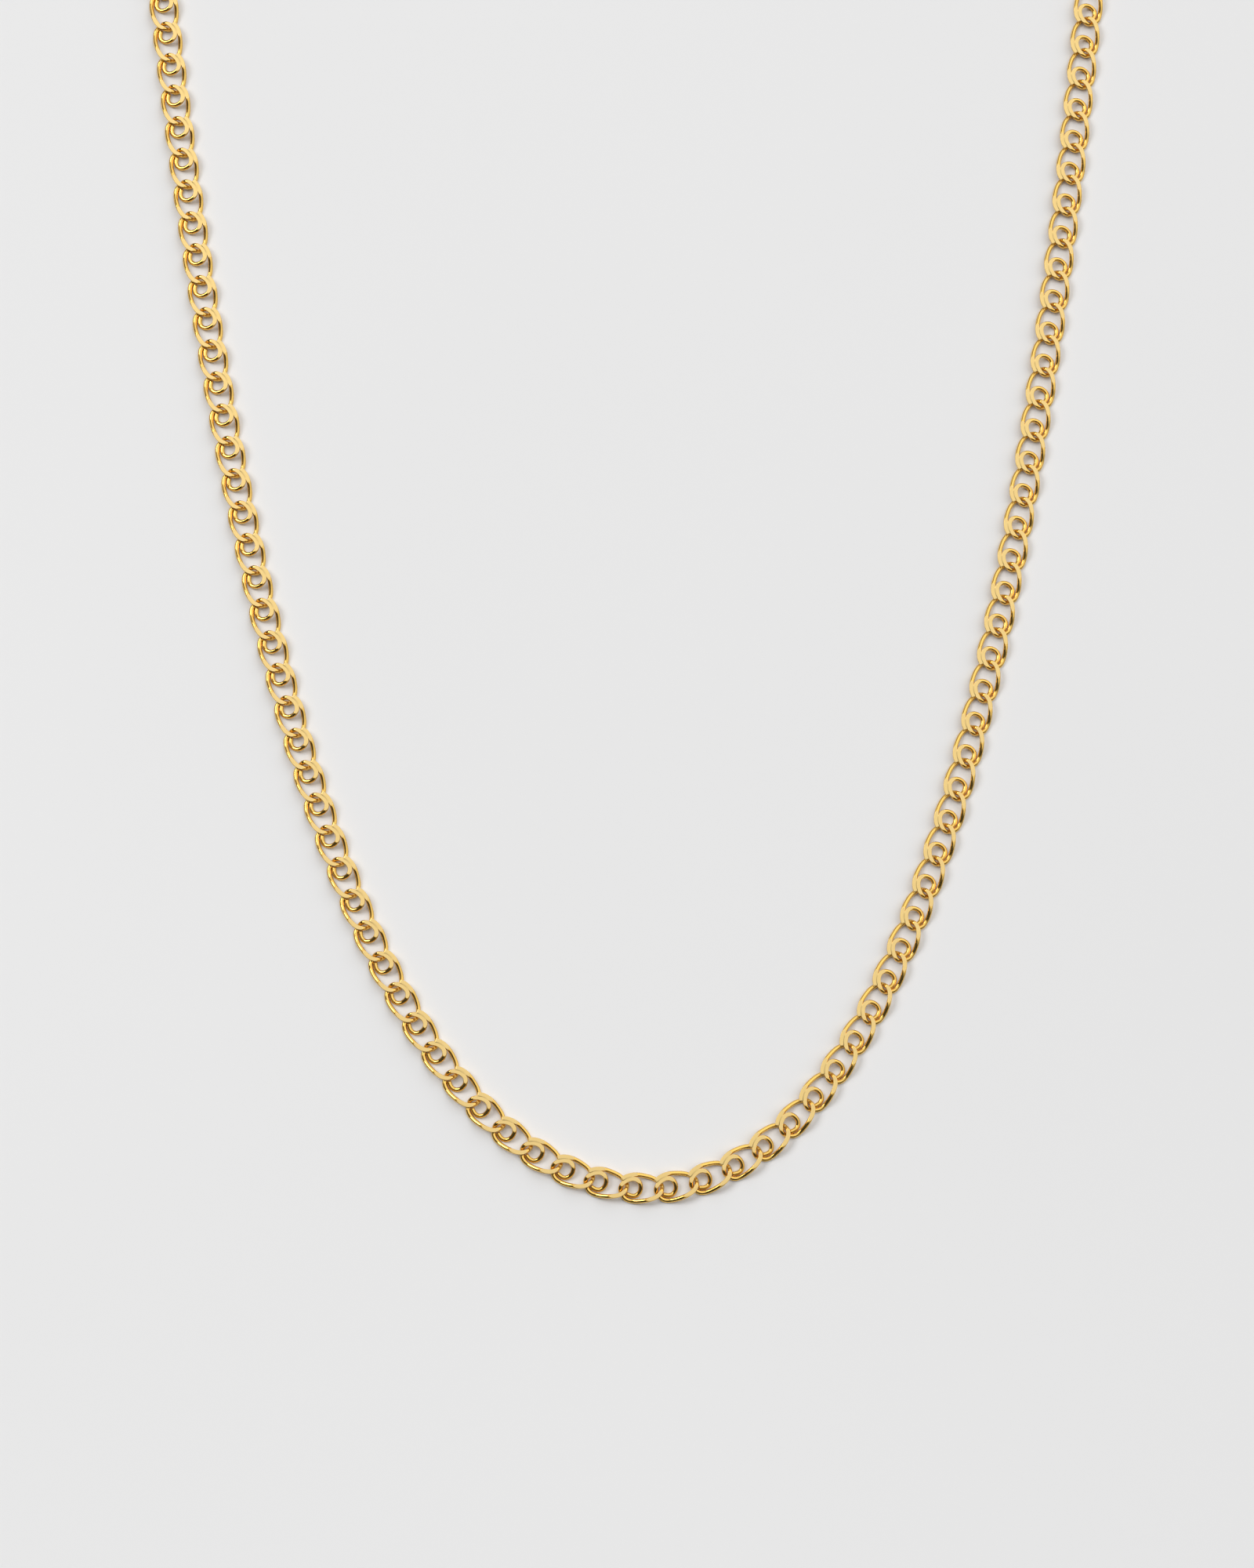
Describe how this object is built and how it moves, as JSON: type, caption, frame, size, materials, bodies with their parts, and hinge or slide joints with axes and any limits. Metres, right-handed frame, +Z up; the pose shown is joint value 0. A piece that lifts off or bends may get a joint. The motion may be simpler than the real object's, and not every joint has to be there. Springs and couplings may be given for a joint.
{
  "type": "chain necklace",
  "caption": "Flat snail-link chain necklace lying open in a U, with jump ring, end ring and a lobster clasp whose sprung lever opens; its links bend and fold.",
  "frame": {"origin": "middle of the filed flat under the eye of the front link, on the table", "axes": "+Z up, +Y from the front of the necklace towards the clasp, +X towards the strand that carries the end ring"},
  "size_m": [0.1266, 0.2114, 0.0029],
  "materials": {
    "chain_gold": "polished wire, filed satin flats",
    "clasp_gold": "polished",
    "spring_steel": "drawn wire"
  },
  "bodies": {
    "left_links_27": {"left_links_27": "chain_gold"},
    "left_links_26": {"left_links_26": "chain_gold"},
    "left_links_25": {"left_links_25": "chain_gold"},
    "left_links_24": {"left_links_24": "chain_gold"},
    "left_links_23": {"left_links_23": "chain_gold"},
    "left_links_22": {"left_links_22": "chain_gold"},
    "left_links_21": {"left_links_21": "chain_gold"},
    "left_links_20": {"left_links_20": "chain_gold"},
    "left_links_19": {"left_links_19": "chain_gold"},
    "left_links_18": {"left_links_18": "chain_gold"},
    "left_links_17": {"left_links_17": "chain_gold"},
    "left_links_16": {"left_links_16": "chain_gold"},
    "left_links_15": {"left_links_15": "chain_gold"},
    "left_links_14": {"left_links_14": "chain_gold"},
    "left_links_13": {"left_links_13": "chain_gold"},
    "left_links_12": {"left_links_12": "chain_gold"},
    "left_links_11": {"left_links_11": "chain_gold"},
    "left_links_10": {"left_links_10": "chain_gold"},
    "left_links_09": {"left_links_09": "chain_gold"},
    "left_links_08": {"left_links_08": "chain_gold"},
    "left_links_07": {"left_links_07": "chain_gold"},
    "left_links_06": {"left_links_06": "chain_gold"},
    "left_links_05": {"left_links_05": "chain_gold"},
    "left_links_04": {"left_links_04": "chain_gold"},
    "left_links_03": {"left_links_03": "chain_gold"},
    "left_links_02": {"left_links_02": "chain_gold"},
    "left_links_01": {"left_links_01": "chain_gold"},
    "front_links": {"front_links": "chain_gold"},
    "right_links_01": {"right_links_01": "chain_gold"},
    "right_links_02": {"right_links_02": "chain_gold"},
    "right_links_03": {"right_links_03": "chain_gold"},
    "right_links_04": {"right_links_04": "chain_gold"},
    "right_links_05": {"right_links_05": "chain_gold"},
    "right_links_06": {"right_links_06": "chain_gold"},
    "right_links_07": {"right_links_07": "chain_gold"},
    "right_links_08": {"right_links_08": "chain_gold"},
    "right_links_09": {"right_links_09": "chain_gold"},
    "right_links_10": {"right_links_10": "chain_gold"},
    "right_links_11": {"right_links_11": "chain_gold"},
    "right_links_12": {"right_links_12": "chain_gold"},
    "right_links_13": {"right_links_13": "chain_gold"},
    "right_links_14": {"right_links_14": "chain_gold"},
    "right_links_15": {"right_links_15": "chain_gold"},
    "right_links_16": {"right_links_16": "chain_gold"},
    "right_links_17": {"right_links_17": "chain_gold"},
    "right_links_18": {"right_links_18": "chain_gold"},
    "right_links_19": {"right_links_19": "chain_gold"},
    "right_links_20": {"right_links_20": "chain_gold"},
    "right_links_21": {"right_links_21": "chain_gold"},
    "right_links_22": {"right_links_22": "chain_gold"},
    "right_links_23": {"right_links_23": "chain_gold"},
    "right_links_24": {"right_links_24": "chain_gold"},
    "right_links_25": {"right_links_25": "chain_gold"},
    "right_links_26": {"right_links_26": "chain_gold"},
    "end_ring": {"end_ring": "clasp_gold"},
    "clasp_jump_ring": {"clasp_jump_ring": "clasp_gold"},
    "clasp": {"clasp_body": "clasp_gold", "clasp_pin": "clasp_gold", "clasp_spring": "spring_steel"},
    "clasp_lever": {"clasp_lever": "clasp_gold"}
  },
  "joints": [
    {"name": "clasp_lever_press", "type": "hinge", "parent": "clasp", "child": "clasp_lever", "pos_m": [-0.06204, 0.20453, 0.0012], "axis": [0, 0, 1], "range_deg": [0, 22], "stiffness_Nm_per_rad": 0.000002},
    {"name": "clasp_swing", "type": "hinge", "parent": "clasp_jump_ring", "child": "clasp", "pos_m": [-0.06228, 0.20179, 0.0012], "axis": [0, 0, 1], "range_deg": [-40, 40]},
    {"name": "jump_ring_swing", "type": "hinge", "parent": "left_links_27", "child": "clasp_jump_ring", "pos_m": [-0.06219, 0.19907, 0.0005], "axis": [0, 0, 1], "range_deg": [-12, 30]},
    {"name": "end_ring_swing", "type": "hinge", "parent": "right_links_26", "child": "end_ring", "pos_m": [0.05936, 0.19589, 0.0005], "axis": [0, 0, 1], "range_deg": [-15, 12]},
    {"name": "left_fold_01", "type": "hinge", "parent": "front_links", "child": "left_links_01", "pos_m": [-0.00124, 0.0009, 0.00061], "axis": [0.1321, 0.9912, 0], "range_deg": [-18, 18]},
    {"name": "right_bend_01", "type": "hinge", "parent": "front_links", "child": "right_links_01", "pos_m": [0.0067, 0.00141, 0.00046], "axis": [0, 0, 1], "range_deg": [-23.5, 4.5]},
    {"name": "left_bend_02", "type": "hinge", "parent": "left_links_01", "child": "left_links_02", "pos_m": [-0.00883, 0.00333, 0.00046], "axis": [0, 0, 1], "range_deg": [-7.4, 20.6]},
    {"name": "right_fold_02", "type": "hinge", "parent": "right_links_01", "child": "right_links_02", "pos_m": [0.01386, 0.00491, 0.00061], "axis": [0.5764, -0.8172, 0], "range_deg": [-18, 18]},
    {"name": "left_fold_03", "type": "hinge", "parent": "left_links_02", "child": "left_links_03", "pos_m": [-0.01538, 0.00789, 0.00061], "axis": [-0.6626, -0.7489, 0], "range_deg": [-18, 18]},
    {"name": "right_bend_03", "type": "hinge", "parent": "right_links_02", "child": "right_links_03", "pos_m": [0.01973, 0.01032, 0.00046], "axis": [0, 0, -1], "range_deg": [-10.6, 17.4]},
    {"name": "left_bend_04", "type": "hinge", "parent": "left_links_03", "child": "left_links_04", "pos_m": [-0.02083, 0.01374, 0.00046], "axis": [0, 0, 1], "range_deg": [-11.8, 16.2]},
    {"name": "right_fold_04", "type": "hinge", "parent": "right_links_03", "child": "right_links_04", "pos_m": [0.02448, 0.01675, 0.00061], "axis": [-0.8435, 0.5371, 0], "range_deg": [-18, 18]},
    {"name": "left_fold_05", "type": "hinge", "parent": "left_links_04", "child": "left_links_05", "pos_m": [-0.02537, 0.02032, 0.00061], "axis": [-0.8538, -0.5206, 0], "range_deg": [-18, 18]},
    {"name": "right_bend_05", "type": "hinge", "parent": "right_links_04", "child": "right_links_05", "pos_m": [0.02839, 0.02373, 0.00046], "axis": [0, 0, -1], "range_deg": [-13.5, 14.5]},
    {"name": "left_bend_06", "type": "hinge", "parent": "left_links_05", "child": "left_links_06", "pos_m": [-0.0292, 0.02734, 0.00046], "axis": [0, 0, -1], "range_deg": [-14.1, 13.9]},
    {"name": "right_fold_06", "type": "hinge", "parent": "right_links_05", "child": "right_links_06", "pos_m": [0.03167, 0.03103, 0.00061], "axis": [-0.9251, 0.3797, 0], "range_deg": [-18, 18]},
    {"name": "left_fold_07", "type": "hinge", "parent": "left_links_06", "child": "left_links_07", "pos_m": [-0.03251, 0.03463, 0.00061], "axis": [0.9228, 0.3852, 0], "range_deg": [-18, 18]},
    {"name": "right_bend_07", "type": "hinge", "parent": "right_links_06", "child": "right_links_07", "pos_m": [0.03449, 0.03851, 0.00046], "axis": [0, 0, 1], "range_deg": [-13.3, 14.7]},
    {"name": "left_bend_08", "type": "hinge", "parent": "left_links_07", "child": "left_links_08", "pos_m": [-0.03539, 0.04209, 0.00046], "axis": [0, 0, -1], "range_deg": [-13.2, 14.8]},
    {"name": "right_fold_08", "type": "hinge", "parent": "right_links_07", "child": "right_links_08", "pos_m": [0.03696, 0.04612, 0.00061], "axis": [0.9571, -0.2898, 0], "range_deg": [-18, 18]},
    {"name": "left_fold_09", "type": "hinge", "parent": "left_links_08", "child": "left_links_09", "pos_m": [-0.03795, 0.04967, 0.00061], "axis": [0.9531, 0.3025, 0], "range_deg": [-18, 18]},
    {"name": "right_bend_09", "type": "hinge", "parent": "right_links_08", "child": "right_links_09", "pos_m": [0.03915, 0.05382, 0.00046], "axis": [0, 0, 1], "range_deg": [-12.8, 15.2]},
    {"name": "left_bend_10", "type": "hinge", "parent": "left_links_09", "child": "left_links_10", "pos_m": [-0.04025, 0.05733, 0.00046], "axis": [0, 0, 1], "range_deg": [-15.2, 12.8]},
    {"name": "right_fold_10", "type": "hinge", "parent": "right_links_09", "child": "right_links_10", "pos_m": [0.04111, 0.06157, 0.00061], "axis": [0.9724, -0.2333, 0], "range_deg": [-18, 18]},
    {"name": "left_fold_11", "type": "hinge", "parent": "left_links_10", "child": "left_links_11", "pos_m": [-0.04233, 0.06505, 0.00061], "axis": [-0.9688, -0.248, 0], "range_deg": [-18, 18]},
    {"name": "right_bend_11", "type": "hinge", "parent": "right_links_10", "child": "right_links_11", "pos_m": [0.04289, 0.06937, 0.00046], "axis": [0, 0, -1], "range_deg": [-15.4, 12.6]},
    {"name": "left_bend_12", "type": "hinge", "parent": "left_links_11", "child": "left_links_12", "pos_m": [-0.04422, 0.07283, 0.00046], "axis": [0, 0, 1], "range_deg": [-15.4, 12.6]},
    {"name": "right_fold_12", "type": "hinge", "parent": "right_links_11", "child": "right_links_12", "pos_m": [0.04451, 0.0772, 0.00061], "axis": [-0.9808, 0.1949, 0], "range_deg": [-18, 18]},
    {"name": "left_fold_13", "type": "hinge", "parent": "left_links_12", "child": "left_links_13", "pos_m": [-0.04597, 0.08063, 0.00061], "axis": [-0.9777, -0.2098, 0], "range_deg": [-18, 18]},
    {"name": "right_bend_13", "type": "hinge", "parent": "right_links_12", "child": "right_links_13", "pos_m": [0.04601, 0.08506, 0.00046], "axis": [0, 0, -1], "range_deg": [-15.6, 12.4]},
    {"name": "left_bend_14", "type": "hinge", "parent": "left_links_13", "child": "left_links_14", "pos_m": [-0.04758, 0.08847, 0.00046], "axis": [0, 0, -1], "range_deg": [-12.4, 15.6]},
    {"name": "right_fold_14", "type": "hinge", "parent": "right_links_13", "child": "right_links_14", "pos_m": [0.0474, 0.09294, 0.00061], "axis": [-0.9859, 0.1672, 0], "range_deg": [-18, 18]},
    {"name": "left_fold_15", "type": "hinge", "parent": "left_links_14", "child": "left_links_15", "pos_m": [-0.04909, 0.09633, 0.00061], "axis": [0.9834, 0.1816, 0], "range_deg": [-18, 18]},
    {"name": "right_bend_15", "type": "hinge", "parent": "right_links_14", "child": "right_links_15", "pos_m": [0.04869, 0.10084, 0.00046], "axis": [0, 0, 1], "range_deg": [-12.3, 15.7]},
    {"name": "left_bend_16", "type": "hinge", "parent": "left_links_15", "child": "left_links_16", "pos_m": [-0.05049, 0.1042, 0.00046], "axis": [0, 0, -1], "range_deg": [-12.3, 15.7]},
    {"name": "right_fold_16", "type": "hinge", "parent": "right_links_15", "child": "right_links_16", "pos_m": [0.0499, 0.10874, 0.00061], "axis": [0.9892, -0.1463, 0], "range_deg": [-18, 18]},
    {"name": "left_fold_17", "type": "hinge", "parent": "left_links_16", "child": "left_links_17", "pos_m": [-0.05181, 0.11209, 0.00061], "axis": [0.9871, 0.16, 0], "range_deg": [-18, 18]},
    {"name": "right_bend_17", "type": "hinge", "parent": "right_links_16", "child": "right_links_17", "pos_m": [0.05103, 0.11666, 0.00046], "axis": [0, 0, 1], "range_deg": [-12.2, 15.8]},
    {"name": "left_bend_18", "type": "hinge", "parent": "left_links_17", "child": "left_links_18", "pos_m": [-0.05305, 0.11999, 0.00046], "axis": [0, 0, 1], "range_deg": [-15.8, 12.2]},
    {"name": "right_fold_18", "type": "hinge", "parent": "right_links_17", "child": "right_links_18", "pos_m": [0.0521, 0.12459, 0.00061], "axis": [0.9915, -0.13, 0], "range_deg": [-18, 18]},
    {"name": "left_fold_19", "type": "hinge", "parent": "left_links_18", "child": "left_links_19", "pos_m": [-0.05423, 0.12791, 0.00061], "axis": [-0.9897, -0.1429, 0], "range_deg": [-18, 18]},
    {"name": "right_bend_19", "type": "hinge", "parent": "right_links_18", "child": "right_links_19", "pos_m": [0.05311, 0.13253, 0.00046], "axis": [0, 0, -1], "range_deg": [-15.8, 12.2]},
    {"name": "left_bend_20", "type": "hinge", "parent": "left_links_19", "child": "left_links_20", "pos_m": [-0.05534, 0.13583, 0.00046], "axis": [0, 0, 1], "range_deg": [-15.8, 12.2]},
    {"name": "right_fold_20", "type": "hinge", "parent": "right_links_19", "child": "right_links_20", "pos_m": [0.05407, 0.14047, 0.00061], "axis": [-0.9931, 0.1169, 0], "range_deg": [-18, 18]},
    {"name": "left_fold_21", "type": "hinge", "parent": "left_links_20", "child": "left_links_21", "pos_m": [-0.0564, 0.14376, 0.00061], "axis": [-0.9916, -0.1291, 0], "range_deg": [-18, 18]},
    {"name": "right_bend_21", "type": "hinge", "parent": "right_links_20", "child": "right_links_21", "pos_m": [0.05499, 0.14842, 0.00046], "axis": [0, 0, -1], "range_deg": [-15.8, 12.2]},
    {"name": "left_bend_22", "type": "hinge", "parent": "left_links_21", "child": "left_links_22", "pos_m": [-0.05741, 0.1517, 0.00046], "axis": [0, 0, -1], "range_deg": [-12.2, 15.8]},
    {"name": "right_fold_22", "type": "hinge", "parent": "right_links_21", "child": "right_links_22", "pos_m": [0.05586, 0.15637, 0.00061], "axis": [-0.9943, 0.1063, 0], "range_deg": [-18, 18]},
    {"name": "left_fold_23", "type": "hinge", "parent": "left_links_22", "child": "left_links_23", "pos_m": [-0.05837, 0.15964, 0.00061], "axis": [0.993, 0.1177, 0], "range_deg": [-18, 18]},
    {"name": "right_bend_23", "type": "hinge", "parent": "right_links_22", "child": "right_links_23", "pos_m": [0.05669, 0.16433, 0.00046], "axis": [0, 0, 1], "range_deg": [-12.1, 15.9]},
    {"name": "left_bend_24", "type": "hinge", "parent": "left_links_23", "child": "left_links_24", "pos_m": [-0.05929, 0.16758, 0.00046], "axis": [0, 0, -1], "range_deg": [-12.1, 15.9]},
    {"name": "right_fold_24", "type": "hinge", "parent": "right_links_23", "child": "right_links_24", "pos_m": [0.05748, 0.17229, 0.00061], "axis": [0.9952, -0.0974, 0], "range_deg": [-18, 18]},
    {"name": "left_fold_25", "type": "hinge", "parent": "left_links_24", "child": "left_links_25", "pos_m": [-0.06018, 0.17553, 0.00061], "axis": [0.9941, 0.1082, 0], "range_deg": [-18, 18]},
    {"name": "right_bend_25", "type": "hinge", "parent": "right_links_24", "child": "right_links_25", "pos_m": [0.05824, 0.18025, 0.00046], "axis": [0, 0, 1], "range_deg": [-12.1, 15.9]},
    {"name": "left_bend_26", "type": "hinge", "parent": "left_links_25", "child": "left_links_26", "pos_m": [-0.06103, 0.18349, 0.00046], "axis": [0, 0, 1], "range_deg": [-15.9, 12.1]},
    {"name": "right_fold_26", "type": "hinge", "parent": "right_links_25", "child": "right_links_26", "pos_m": [0.05898, 0.18822, 0.00061], "axis": [0.996, -0.0898, 0], "range_deg": [-18, 18]},
    {"name": "left_fold_27", "type": "hinge", "parent": "left_links_26", "child": "left_links_27", "pos_m": [-0.06184, 0.19145, 0.00061], "axis": [-0.995, -0.1, 0], "range_deg": [-18, 18]}
  ]
}
